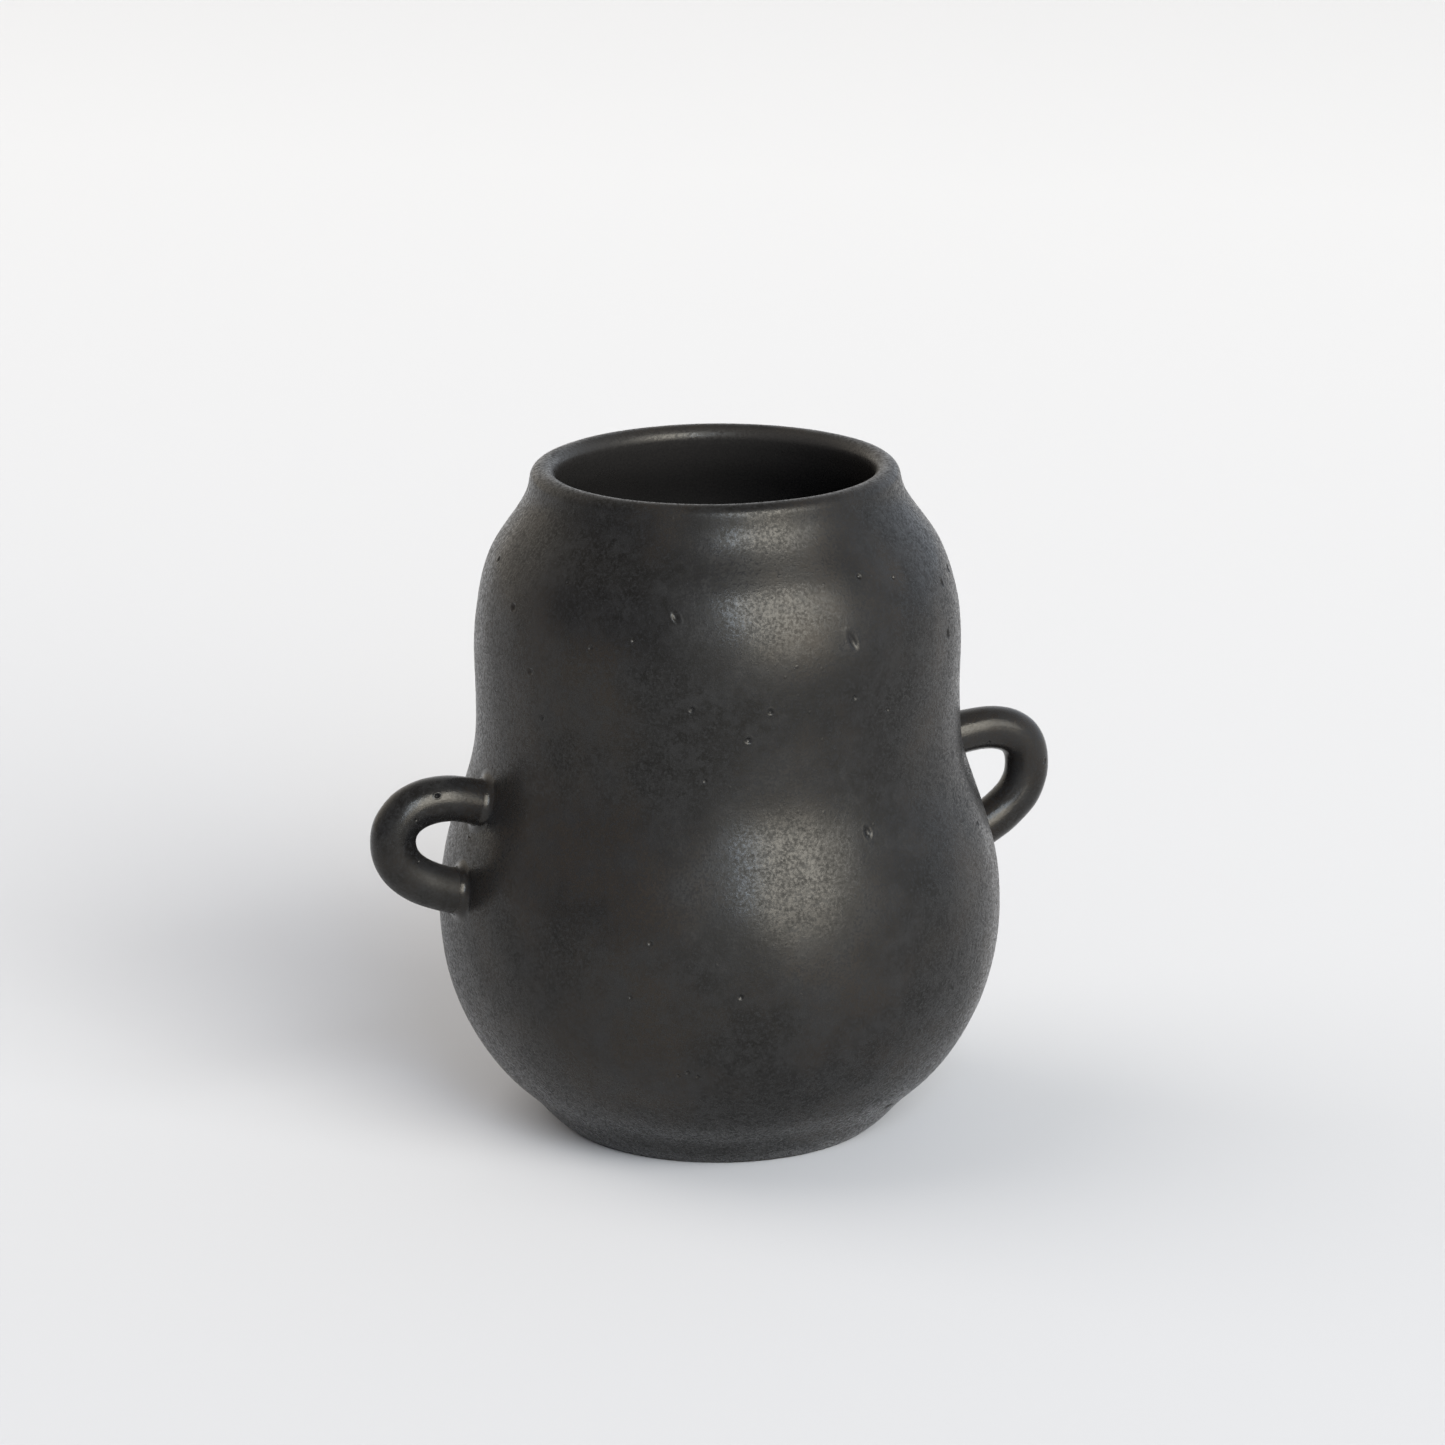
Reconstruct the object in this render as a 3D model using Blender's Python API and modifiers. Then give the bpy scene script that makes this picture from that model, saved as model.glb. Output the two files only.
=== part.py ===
"""A black clay pot in the double-gourd form, with two small coil handles on its lower bulb.

The pot is made the way a potter joins one by hand: a foot slab, a lower bulb, an upper bulb and
a rim coil are turned or coiled apart and luted edge to edge with slip, and each rolled handle is
pressed on at both ends and luted with a thin wad of clay. All sizes are in metres, +Z is up, and
the origin is at the centre of the foot's underside. The right handle is on +X, the left on -X.
"""

import math

import bmesh
import bpy
import numpy as np
from mathutils import Matrix, Vector

# Outer wall, from the foot's edge to the start of the lip: (height, radius).
OUTLINE = (
    (0.0000, 0.04070),  # edge of the foot
    (0.0030, 0.04420),
    (0.0080, 0.04885),
    (0.0140, 0.05520),
    (0.0220, 0.06126),
    (0.0320, 0.06649),
    (0.0500, 0.07091),
    (0.0570, 0.07122),  # widest part of the lower bulb
    (0.0720, 0.06931),
    (0.0840, 0.06574),
    (0.0940, 0.06240),
    (0.1040, 0.06094),
    (0.1105, 0.06075),  # waist
    (0.1245, 0.06109),  # widest part of the upper bulb
    (0.1340, 0.06055),
    (0.1430, 0.05857),
    (0.1500, 0.05570),
    (0.1550, 0.05230),  # shoulder
    (0.1610, 0.04826),  # crease between the shoulder and the collar
    (0.1630, 0.04741),
    (0.1676, 0.04619),  # start of the lip
)
WALL = 0.0056

# The lip is a rounded edge, an arc about this centre.
LIP_RADIUS = 0.0032
LIP_CENTRE = (0.0431, 0.1668)
LIP_ARC = (14.8, 186.0)
COLLAR_TOP = 0.1655
INNER_COLLAR_TOP = 0.1618

# A seam runs from this height on the outer wall to that height of the inner wall behind it.
FOOT_SEAM = (0.0065, 0.0040)
WAIST_SEAM = (0.1105, 0.1050)
COLLAR_SEAM = (0.1600, 0.1565)
SEAM_GAP = 0.0004

FLOOR = 0.0070
FLOOR_RADIUS = 0.0385
DISH_RADIUS = 0.0300
DISH_DEPTH = 0.0008
FOOT_FLAT_RADIUS = 0.0330

# A handle's centre line, in the plane of the pot's axis: (distance from the axis, height) of its
# ends, just inside the wall, and of its outermost point; and the slope at which its ends leave.
HANDLE_RADIUS = 0.0057
HANDLE_TOP = (0.0615, 0.0898)
HANDLE_TIP = (0.0869, 0.0825)
HANDLE_FOOT = (0.0675, 0.0658)
HANDLE_SLOPE = 20.0
HANDLE_REACH = (0.0146, 0.0096, 0.0086, 0.0100)

# The wad of clay around a handle's end is a concave flare that thins out over the wall.
LUTING_FILLET = 0.0022
LUTING_EDGE = 0.0008
LUTING_SKIRT = (0.0013, 0.0013)
LUTING_ROOT = 0.0035

# Luted pieces keep this gap to what they are joined to.
JOINT_GAP = 0.0003

TURN_STEPS = 64
LUTING_STEPS = 32
LOWER_ROWS = 14
UPPER_ROWS = 9
SMOOTH_ANGLE = math.radians(40)
BLACK_CLAY = (0.020, 0.019, 0.018)
BARE_CLAY = (0.032, 0.030, 0.028)


def clear_scene():
    for obj in list(bpy.data.objects):
        bpy.data.objects.remove(obj)


def new_collection(name, hidden=False):
    collection = bpy.data.collections.new(name)
    collection.hide_render = hidden
    bpy.context.scene.collection.children.link(collection)
    return collection


def clay(name, colour, roughness):
    material = bpy.data.materials.new(name)
    material.use_nodes = True
    shader = material.node_tree.nodes["Principled BSDF"]
    shader.inputs["Base Color"].default_value = (*colour, 1)
    shader.inputs["Roughness"].default_value = roughness
    shader.inputs["Metallic"].default_value = 0
    return material


def spline_bends(heights, radii):
    """Second derivatives, at its points, of the natural cubic spline through the outline."""
    steps = np.diff(heights)
    slopes = np.diff(radii) / steps
    system = np.eye(len(heights))
    right_side = np.zeros(len(heights))
    for i in range(1, len(heights) - 1):
        system[i, i - 1 : i + 2] = steps[i - 1], 2 * (steps[i - 1] + steps[i]), steps[i]
        right_side[i] = 6 * (slopes[i] - slopes[i - 1])
    return np.linalg.solve(system, right_side)


HEIGHTS = np.array([height for height, _ in OUTLINE])
RADII = np.array([radius for _, radius in OUTLINE])
BENDS = spline_bends(HEIGHTS, RADII)


def radius_at(height):
    """The outer wall's radius at a height."""
    i = int(np.clip(np.searchsorted(HEIGHTS, height) - 1, 0, len(HEIGHTS) - 2))
    span = HEIGHTS[i + 1] - HEIGHTS[i]
    up = (height - HEIGHTS[i]) / span
    down = 1 - up
    bend = (down**3 - down) * BENDS[i] + (up**3 - up) * BENDS[i + 1]
    return down * RADII[i] + up * RADII[i + 1] + bend * span**2 / 6


def wall_normal(height):
    """The outer wall's normal at a height, as (radius, height)."""
    nudge = 0.0002
    slope = (radius_at(height + nudge) - radius_at(height - nudge)) / (2 * nudge)
    return Vector((1, -slope)).normalized()


def wall_point(height, depth):
    """(radius, height) of the point this deep in the wall, square to its outer face."""
    return Vector((radius_at(height), height)) - depth * wall_normal(height)


def wall_run(start, end, count, depth=0.0):
    return [wall_point(height, depth) for height in np.linspace(start, end, count)]


def turned(name, profile, closed, collection, material=None, steps=TURN_STEPS):
    """A solid of revolution. Its profile runs down the outer side, from top to bottom."""
    mesh = bpy.data.meshes.new(name)
    edges = [(i, i + 1) for i in range(len(profile) - 1)]
    if closed:
        edges.append((len(profile) - 1, 0))
    mesh.from_pydata([(radius, 0, height) for radius, height in profile], edges, [])
    obj = bpy.data.objects.new(name, mesh)
    collection.objects.link(obj)
    screw = obj.modifiers.new("turn", "SCREW")
    screw.steps = steps
    screw.render_steps = steps
    screw.use_merge_vertices = True
    screw.merge_threshold = 0.00001
    screw.use_smooth_shade = True
    if material:
        mesh.materials.append(material)
    return obj


def bake_modifiers(obj):
    """Replaces an object's mesh with the one that its modifiers make."""
    graph = bpy.context.evaluated_depsgraph_get()
    mesh = bpy.data.meshes.new_from_object(obj.evaluated_get(graph))
    mesh.name = obj.name
    obj.modifiers.clear()
    obj.data = mesh
    return mesh


def shade_round(obj):
    mesh = bake_modifiers(obj)
    mesh.shade_smooth()
    mesh.set_sharp_from_angle(angle=SMOOTH_ANGLE)


def foot_slab(collection, material):
    """The round slab that the pot stands on, flat at its edge and slightly dished within."""
    profile = [Vector((0, FLOOR)), Vector((FLOOR_RADIUS, FLOOR))]
    profile.append(wall_point(FOOT_SEAM[1] - SEAM_GAP / 2, WALL))
    profile += wall_run(FOOT_SEAM[0] - SEAM_GAP / 2, OUTLINE[0][0], 5)
    profile.append(Vector((FOOT_FLAT_RADIUS, 0)))
    profile += [Vector((DISH_RADIUS, DISH_DEPTH)), Vector((0, DISH_DEPTH))]
    slab = turned("foot_slab", profile, False, collection, material)
    shade_round(slab)


def bulb_wall(name, low_seam, high_seam, rows, collection, material):
    """A bulb's wall between two bevelled seams, open at both ends."""
    clear = SEAM_GAP / 2
    outer = wall_run(high_seam[0] - clear, low_seam[0] + clear, rows)
    inner = wall_run(low_seam[1] + clear, high_seam[1] - clear, rows, WALL)
    shade_round(turned(name, outer + inner, True, collection, material))


def lip_arc(count):
    angles = np.radians(np.linspace(*LIP_ARC, count))
    centre = Vector(LIP_CENTRE)
    return [centre + LIP_RADIUS * Vector((math.cos(a), math.sin(a))) for a in angles]


def rim_coil(collection, material):
    """The coil pressed onto the shoulder, drawn up into a short collar with a rounded lip."""
    clear = SEAM_GAP / 2
    lip = lip_arc(11)[::-1]
    outer = wall_run(COLLAR_TOP, COLLAR_SEAM[0] + clear, 4)
    inner = wall_run(COLLAR_SEAM[1] + clear, INNER_COLLAR_TOP, 3, WALL)
    shade_round(turned("rim_coil", lip + outer + inner, True, collection, material))


def handle_points(side):
    """The ends and tip of a handle's centre line, with the reach of the curve from each."""
    slope = math.radians(HANDLE_SLOPE)
    leave = Vector((math.cos(slope), math.sin(slope)))
    down = Vector((0, -1))
    top, tip, foot = Vector(HANDLE_TOP), Vector(HANDLE_TIP), Vector(HANDLE_FOOT)
    reach = HANDLE_REACH
    rows = (
        (top - reach[0] * leave, top, top + reach[0] * leave),
        (tip - reach[1] * down, tip, tip + reach[2] * down),
        (foot + reach[3] * leave, foot, foot - reach[3] * leave),
    )
    return [[Vector((side * out, 0, height)) for out, height in row] for row in rows]


def handle_tube(name, side, radius, collection):
    """The rolled coil of a handle as a closed mesh, from inside the wall to inside the wall."""
    curve = bpy.data.curves.new(name, "CURVE")
    curve.dimensions = "3D"
    curve.bevel_depth = radius
    curve.bevel_resolution = 4
    curve.use_fill_caps = True
    curve.resolution_u = 10
    spline = curve.splines.new("BEZIER")
    points = handle_points(side)
    spline.bezier_points.add(len(points) - 1)
    for point, (before, place, after) in zip(spline.bezier_points, points):
        point.handle_left_type = "FREE"
        point.handle_right_type = "FREE"
        point.handle_left = before
        point.co = place
        point.handle_right = after
    guide = bpy.data.objects.new(name + "_guide", curve)
    bpy.context.scene.collection.objects.link(guide)
    bpy.context.view_layer.update()
    graph = bpy.context.evaluated_depsgraph_get()
    mesh = bpy.data.meshes.new_from_object(guide.evaluated_get(graph))
    bpy.data.objects.remove(guide)
    shell = bmesh.new()
    shell.from_mesh(mesh)
    bmesh.ops.remove_doubles(shell, verts=shell.verts, dist=0.00001)
    bmesh.ops.recalc_face_normals(shell, faces=shell.faces)
    shell.to_mesh(mesh)
    shell.free()
    tube = bpy.data.objects.new(name, mesh)
    collection.objects.link(tube)
    return tube


def make_cutter(obj):
    obj.display_type = "WIRE"
    obj.hide_render = True
    return obj


def body_cutter(collection):
    """The lower bulb's outer shape, grown by the gap that a joined piece keeps to it."""
    clear = SEAM_GAP / 2
    run = wall_run(WAIST_SEAM[0] - clear, FOOT_SEAM[0] + clear, LOWER_ROWS, -JOINT_GAP)
    profile = [Vector((0, run[0].y)), *run, Vector((0, run[-1].y))]
    return make_cutter(turned("body_cutter", profile, False, collection))


def cut(obj, cutter):
    boolean = obj.modifiers.new("fit to " + cutter.name, "BOOLEAN")
    boolean.operation = "DIFFERENCE"
    boolean.object = cutter


def luting(name, end, outward, collection, material):
    """The solid flare of a luting wad, square to the wall at a handle's end, before it is fitted."""
    neck = HANDLE_RADIUS + LUTING_EDGE
    flare = []
    for step in range(6):
        angle = math.radians(90 * step / 5)
        out, along = LUTING_FILLET * (1 - math.cos(angle)), LUTING_FILLET * (1 - math.sin(angle))
        flare.append(Vector((neck + out, along)))
    skirt = flare[-1] + Vector((LUTING_SKIRT[0], -LUTING_SKIRT[1]))
    root = Vector((skirt.x, -LUTING_ROOT))
    profile = [Vector((0, LUTING_FILLET)), *flare, skirt, root, Vector((0, -LUTING_ROOT))]
    wad = turned(name, profile, False, collection, material, LUTING_STEPS)
    turn = outward.to_track_quat("Z", "Y").to_matrix().to_4x4()
    wad.matrix_world = Matrix.Translation(end) @ turn
    return wad


def surface_crossing(place, outward):
    """Where the line from a point inside the wall, along a handle's end, leaves the wall."""
    point = place.copy()
    step = outward * 0.0001
    while abs(point.x) < radius_at(point.z):
        point += step
    return point


def handle_set(side_name, side, body, parts, cutters, material):
    """A handle and the two wads of clay that lute its ends to the lower bulb."""
    handle = handle_tube(side_name + "_handle", side, HANDLE_RADIUS, parts)
    handle.data.materials.append(material)
    cut(handle, body)
    shade_round(handle)
    around = handle_tube(side_name + "_cutter", side, HANDLE_RADIUS + JOINT_GAP, cutters)
    make_cutter(around)
    top, _, foot = handle_points(side)
    for place, row, ahead in (("upper", top, 2), ("lower", foot, 0)):
        end = surface_crossing(row[1], (row[ahead] - row[1]).normalized())
        out, up = wall_normal(end.z)
        square = Vector((side * out, 0, up))
        wad = luting(f"{side_name}_{place}_luting", end, square, parts, material)
        cut(wad, body)
        cut(wad, around)
        shade_round(wad)


def build():
    clear_scene()
    parts = new_collection("black_clay_pot")
    cutters = new_collection("cutters", hidden=True)
    foot_slab(parts, clay("foot_clay", BARE_CLAY, 0.60))
    lower = clay("lower_bulb_clay", BLACK_CLAY, 0.34)
    bulb_wall("lower_bulb", FOOT_SEAM, WAIST_SEAM, LOWER_ROWS, parts, lower)
    upper = clay("upper_bulb_clay", BLACK_CLAY, 0.34)
    bulb_wall("upper_bulb", WAIST_SEAM, COLLAR_SEAM, UPPER_ROWS, parts, upper)
    rim_coil(parts, clay("rim_clay", BLACK_CLAY, 0.32))
    body = body_cutter(cutters)
    for side_name, side in (("left", -1), ("right", 1)):
        material = clay(side_name + "_handle_clay", BLACK_CLAY, 0.33)
        handle_set(side_name, side, body, parts, cutters, material)


build()
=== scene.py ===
"""The looks of a black clay double-gourd pot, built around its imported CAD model.

Every visible piece is a fine closed mesh that stands for one CAD node. The walls are swept from
one outline, given in shares of the pot's height, so that the pieces meet edge to edge with no
visible seam, as fired clay does. The hand of the potter is in the shape: a slight lean, soft
dents, pinholes in the glaze, two handles bent unlike each other, and clay worked smooth around
their ends.
"""

import math

import bmesh
import bpy
import numpy as np
from mathutils import Euler, Matrix, Vector


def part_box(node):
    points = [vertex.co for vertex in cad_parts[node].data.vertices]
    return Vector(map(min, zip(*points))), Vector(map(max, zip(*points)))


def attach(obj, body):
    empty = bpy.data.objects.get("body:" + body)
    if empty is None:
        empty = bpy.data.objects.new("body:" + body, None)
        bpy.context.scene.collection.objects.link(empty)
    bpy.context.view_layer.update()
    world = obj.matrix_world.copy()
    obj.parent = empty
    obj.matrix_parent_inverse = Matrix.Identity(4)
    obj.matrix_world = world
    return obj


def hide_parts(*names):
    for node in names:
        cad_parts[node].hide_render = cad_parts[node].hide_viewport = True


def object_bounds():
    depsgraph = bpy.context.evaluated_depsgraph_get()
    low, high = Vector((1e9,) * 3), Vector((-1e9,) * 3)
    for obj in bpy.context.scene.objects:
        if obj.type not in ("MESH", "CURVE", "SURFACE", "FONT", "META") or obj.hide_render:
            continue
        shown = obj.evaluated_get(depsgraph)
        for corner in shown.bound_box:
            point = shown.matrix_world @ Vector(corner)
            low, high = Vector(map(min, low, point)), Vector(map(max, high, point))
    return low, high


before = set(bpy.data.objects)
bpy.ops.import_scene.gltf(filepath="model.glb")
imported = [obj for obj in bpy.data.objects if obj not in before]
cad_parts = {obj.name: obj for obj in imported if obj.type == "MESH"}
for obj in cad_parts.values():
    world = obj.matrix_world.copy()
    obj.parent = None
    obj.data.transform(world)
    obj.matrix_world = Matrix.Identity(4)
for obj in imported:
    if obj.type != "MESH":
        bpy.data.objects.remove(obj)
CAD_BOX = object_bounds()

MM = 0.001
HEIGHT = CAD_BOX[1].z
LOWER_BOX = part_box("lower_bulb")
UPPER_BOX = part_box("upper_bulb")
RIM_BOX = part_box("rim_coil")

# Outer wall, from the foot's edge to the start of the lip: (height, radius), in shares of the
# pot's height.
OUTLINE = (
    (0.0000, 0.2394),
    (0.0176, 0.2600),
    (0.0471, 0.2874),
    (0.0824, 0.3247),
    (0.1294, 0.3604),
    (0.1882, 0.3911),
    (0.2941, 0.4171),
    (0.3353, 0.4189),
    (0.4235, 0.4077),
    (0.4941, 0.3867),
    (0.5529, 0.3671),
    (0.6118, 0.3585),
    (0.6500, 0.3574),
    (0.7324, 0.3594),
    (0.7882, 0.3570),
    (0.8412, 0.3462),
    (0.8824, 0.3298),
    (0.9118, 0.3100),
    (0.9471, 0.2850),
    (0.9588, 0.2789),
    (0.9859, 0.2717),
)
# The lip is an arc: the middle of its circle as (radius, height), and its angles in degrees, from
# the inner wall over the top to the outer wall.
LIP_CENTRE = (0.2535 * HEIGHT, 0.9812 * HEIGHT)
LIP_RADIUS = 0.0188 * HEIGHT
LIP_ARC = (186.0, 14.8)
WALL = 5.6 * MM
# The inner wall keeps a wall's thickness inside the outer at this many heights, between these
# shares of the pot's height: (lowest, highest, how many).
INNER_SHARES = (0.085, 0.945, 14)
FLOOR = 7.0 * MM
FLOOR_EDGE = 34.0 * MM
# How the floor sweeps up into the wall: (further out, higher) than its edge. The foot slab's clay
# ends this much higher than the floor.
FLOOR_SWEEP = ((3.8 * MM, 0.25 * MM), (7.2 * MM, 1.7 * MM))
SLAB_RISE = 1.2 * MM
FOOT_ROUND = 1.0 * MM
FOOT_FLAT = 33.0 * MM
# The underside's dish as (radius, height): partway up its slope, and where it levels out.
DISH_SLOPE = (31.6 * MM, 0.35 * MM)
DISH = (30.0 * MM, 0.8 * MM)

# The profile is a fine polyline, with its corners eased over about the softening distance.
FINE_STEP = 0.02 * MM
SOFTENING = 0.25 * MM
FLAT_POINTS = 400
DISH_POINTS = 1500
# The outer wall's slope at its foot is taken up to this point of it.
SLOPE_POINT = 50

# The mesh has this many columns, and rows at most this far apart, in mm, on each run of the
# profile. The rows stop short of the axis, where one point closes the floor or the underside.
COLUMNS = 360
ROW_STEPS = {"floor": 4.0, "inside": 2.4, "lip": 0.4, "outside": 1.15, "edge": 0.2, "under": 2.4}
POLE_GAP = 1.5 * MM
# The radius of the cylinder that the wall's faces are cut on, about the pot's own.
SPREAD = 0.4 * HEIGHT
# How far apart the points are that a surface's normals, and the way to the wall, are taken from.
NORMAL_STEP = 1.5 * FINE_STEP
WALL_STEP = 2 * FINE_STEP


# ---------------------------------------------------------------- outlines


def spline_bends(places, values):
    """Second derivatives of the natural cubic spline through values at these places."""
    steps = np.diff(places)
    slopes = np.diff(values, axis=0) / steps[:, None]
    system = np.eye(len(places))
    right_side = np.zeros_like(values)
    for i in range(1, len(places) - 1):
        system[i, i - 1] = steps[i - 1]
        system[i, i] = 2 * (steps[i - 1] + steps[i])
        system[i, i + 1] = steps[i]
        right_side[i] = 6 * (slopes[i] - slopes[i - 1])
    return np.linalg.solve(system, right_side)


def smooth_path(points, step=FINE_STEP):
    """Points about this far apart along the natural cubic spline through the given ones."""
    points = np.array(points, float)
    chords = np.linalg.norm(np.diff(points, axis=0), axis=1)
    places = np.concatenate([[0], np.cumsum(chords)])
    bends = spline_bends(places, points)
    wanted = np.linspace(0, places[-1], max(2, int(places[-1] / step) + 1))
    i = np.clip(np.searchsorted(places, wanted, side="right") - 1, 0, len(places) - 2)
    span = (places[i + 1] - places[i])[:, None]
    up = (wanted - places[i])[:, None] / span
    down = 1 - up
    straight = down * points[i] + up * points[i + 1]
    bend = (down**3 - down) * bends[i] + (up**3 - up) * bends[i + 1]
    return straight + bend * span**2 / 6


def arc(centre, radius, start, end):
    """Points along an arc of a (radius, height) circle, its angles in degrees."""
    count = int(abs(math.radians(end - start)) * radius / FINE_STEP) + 2
    angles = np.radians(np.linspace(start, end, count))
    return np.stack([centre[0] + radius * np.cos(angles), centre[1] + radius * np.sin(angles)], 1)


def left_normals(path):
    """Unit vectors to the left of a path: outwards from the clay on the whole profile."""
    along = np.gradient(path, axis=0)
    along /= np.linalg.norm(along, axis=1)[:, None]
    return np.stack([-along[:, 1], along[:, 0]], 1)


OUTER_UP = smooth_path([(r * HEIGHT, z * HEIGHT) for z, r in OUTLINE])


def inner_wall(lip_end):
    """The inner wall, from the floor's edge up to the lip, a wall's thickness inside the outer."""
    offset = OUTER_UP + WALL * left_normals(OUTER_UP)
    heights = np.linspace(*INNER_SHARES) * HEIGHT
    knots = [(np.interp(h, offset[:, 1], offset[:, 0]), h) for h in heights]
    sweep = [(FLOOR_EDGE + out, FLOOR + up) for out, up in FLOOR_SWEEP]
    return smooth_path([(FLOOR_EDGE, FLOOR), *sweep, *knots, lip_end])


def whole_profile():
    """The wall's half section as runs of (radius, height), from the middle of the floor, over
    the lip and down the outside, to the middle of the underside."""
    corner, next_up = OUTER_UP[0], OUTER_UP[SLOPE_POINT]
    rise = math.atan2(next_up[1] - corner[1], next_up[0] - corner[0])
    edge_centre = (corner[0] - FOOT_ROUND * math.tan(rise / 2), FOOT_ROUND)
    lip = arc(LIP_CENTRE, LIP_RADIUS, *LIP_ARC)
    edge = arc(edge_centre, FOOT_ROUND, math.degrees(rise) - 90, -90)
    outside = OUTER_UP[::-1]
    flat = np.linspace(edge[-1], (FOOT_FLAT, 0), FLAT_POINTS)
    slope_up = smooth_path([(FOOT_FLAT, 0), DISH_SLOPE, DISH])
    hollow = np.linspace(DISH, (0, DISH[1]), DISH_POINTS)
    return {
        "floor": np.linspace((0, FLOOR), (FLOOR_EDGE, FLOOR), int(FLOOR_EDGE / FINE_STEP)),
        "inside": inner_wall(lip[0]),
        "lip": lip,
        "outside": outside[outside[:, 1] > edge[0, 1]],
        "edge": edge,
        "under": np.concatenate([flat, slope_up[1:], hollow[1:]]),
    }


def soften(points):
    """The same points with every corner eased, and the ends left where they are."""
    reach = int(3 * SOFTENING / FINE_STEP)
    weights = np.exp(-0.5 * (np.arange(-reach, reach + 1) * FINE_STEP / SOFTENING) ** 2)
    weights /= weights.sum()
    eased = points.copy()
    for axis in (0, 1):
        padded = np.pad(points[:, axis], reach, mode="edge")
        eased[:, axis] = np.convolve(padded, weights, mode="valid")
    eased[:reach], eased[-reach:] = points[:reach], points[-reach:]
    return eased


class Profile:
    """The half section as one curve, by the distance along it."""

    def __init__(self):
        runs = whole_profile()
        points = np.concatenate(list(runs.values()))
        steps = np.linalg.norm(np.diff(points, axis=0), axis=1)
        so_far = np.concatenate([[0], np.cumsum(steps)])
        self.length = float(so_far[-1])
        self.places = np.linspace(0, self.length, int(self.length / FINE_STEP) + 1)
        even = np.stack([np.interp(self.places, so_far, points[:, k]) for k in (0, 1)], 1)
        self.points = soften(even)
        self.normals = left_normals(self.points)
        ends = np.cumsum([len(run) for run in runs.values()]) - 1
        self.spans, begin = {}, 0.0
        for name, end in zip(runs, ends):
            self.spans[name] = (begin, float(so_far[end]))
            begin = float(so_far[end])

    def at(self, places, table=None):
        """The (radius, height) at these places, or what another table holds for them."""
        table = self.points if table is None else table
        return tuple(np.interp(places, self.places, table[:, k]) for k in (0, 1))

    def place_of(self, name, height):
        """How far along the curve its inside or outside run passes a height."""
        begin, end = self.spans[name]
        inside = (self.places >= begin) & (self.places <= end)
        heights, places = self.points[inside, 1], self.places[inside]
        order = np.argsort(heights)
        return np.interp(height, heights[order], places[order])

    def rows(self, begin, end):
        """Places of the mesh rows between two places, closer together where the curve is tight."""
        rows = [begin]
        for name, (low, high) in self.spans.items():
            low, high = max(low, begin), min(high, end)
            if high - low > FINE_STEP:
                count = math.ceil((high - low) / (ROW_STEPS[name] * MM))
                rows += list(np.linspace(low, high, count + 1)[1:])
        return np.array(rows)


PROFILE = Profile()


# ---------------------------------------------------------------- the camera's side

# Where the camera stands around the pot, and the level ways to its right and towards it.
CAMERA_AZIMUTH = math.radians(-22.0)
SCREEN_RIGHT = np.array([math.cos(CAMERA_AZIMUTH), math.sin(CAMERA_AZIMUTH)])
TO_CAMERA = np.array([math.sin(CAMERA_AZIMUTH), -math.cos(CAMERA_AZIMUTH)])


def towards(azimuth, elevation):
    """The way from the pot, by degrees to the camera's right and up."""
    turn = CAMERA_AZIMUTH + math.radians(azimuth)
    rise = math.radians(elevation)
    flat = math.cos(rise)
    return np.array([flat * math.sin(turn), -flat * math.cos(turn), math.sin(rise)])


# ---------------------------------------------------------------- the potter's hand

# The rim isn't quite level: its slopes up to the right and towards the camera, how much higher it
# is all round, and the share of the height from which this sets in.
RIM_LEAN = (0.0030, 0.0044)
RIM_RISE = 0.44 * MM
RIM_LEAN_FROM = 0.80

# How far the wall's middle stands to the right: (share of the height, shift in mm).
SHIFTS = (
    (0.0, 0.0),
    (0.20, 0.25),
    (0.40, 0.30),
    (0.55, 0.15),
    (0.67, 0.0),
    (0.80, 0.35),
    (0.87, 0.05),
    (0.93, 0.0),
    (1.0, -0.30),
)
# How strong the dents are: (height in mm, share).
DENT_SHARES = ((0.5, 0.0), (7.0, 1.0), (154.0, 1.0), (163.0, 0.3))


def plane_waves(seed, count, wave_range, depth):
    """A fixed set of gentle waves in space: directions, phases and heights."""
    draw = np.random.default_rng(seed)
    directions = draw.normal(size=(count, 3))
    directions /= np.linalg.norm(directions, axis=1)[:, None]
    lengths = np.exp(draw.uniform(*np.log(wave_range), count))
    phases = draw.uniform(0, 2 * np.pi, count)
    return 2 * np.pi * directions / lengths[:, None], phases, depth * lengths / wave_range[1]


WALL_DENTS = plane_waves(seed=11, count=22, wave_range=(14 * MM, 55 * MM), depth=0.060 * MM)
COIL_DENTS = plane_waves(seed=23, count=16, wave_range=(6 * MM, 26 * MM), depth=0.045 * MM)


def dent(points, waves):
    """How far the surface stands out at each point, from the uneven pressure of a hand."""
    total = np.zeros(len(points))
    for direction, phase, height in zip(*waves):
        total += height * np.sin(points @ direction + phase)
    return total


def lean(points):
    """Moves points with the small lean and shift of the hand-turned walls."""
    share = np.clip(points[:, 2] / HEIGHT, 0, 1)
    shift = np.interp(share, *np.array(SHIFTS).T) * MM
    moved = points.copy()
    moved[:, :2] += shift[:, None] * SCREEN_RIGHT
    across, nearer = points[:, :2] @ SCREEN_RIGHT, points[:, :2] @ TO_CAMERA
    fade = np.clip((share - RIM_LEAN_FROM) / (1 - RIM_LEAN_FROM), 0, 1) ** 2
    moved[:, 2] += fade * (RIM_LEAN[0] * across + RIM_LEAN[1] * nearer + RIM_RISE)
    return moved


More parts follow.
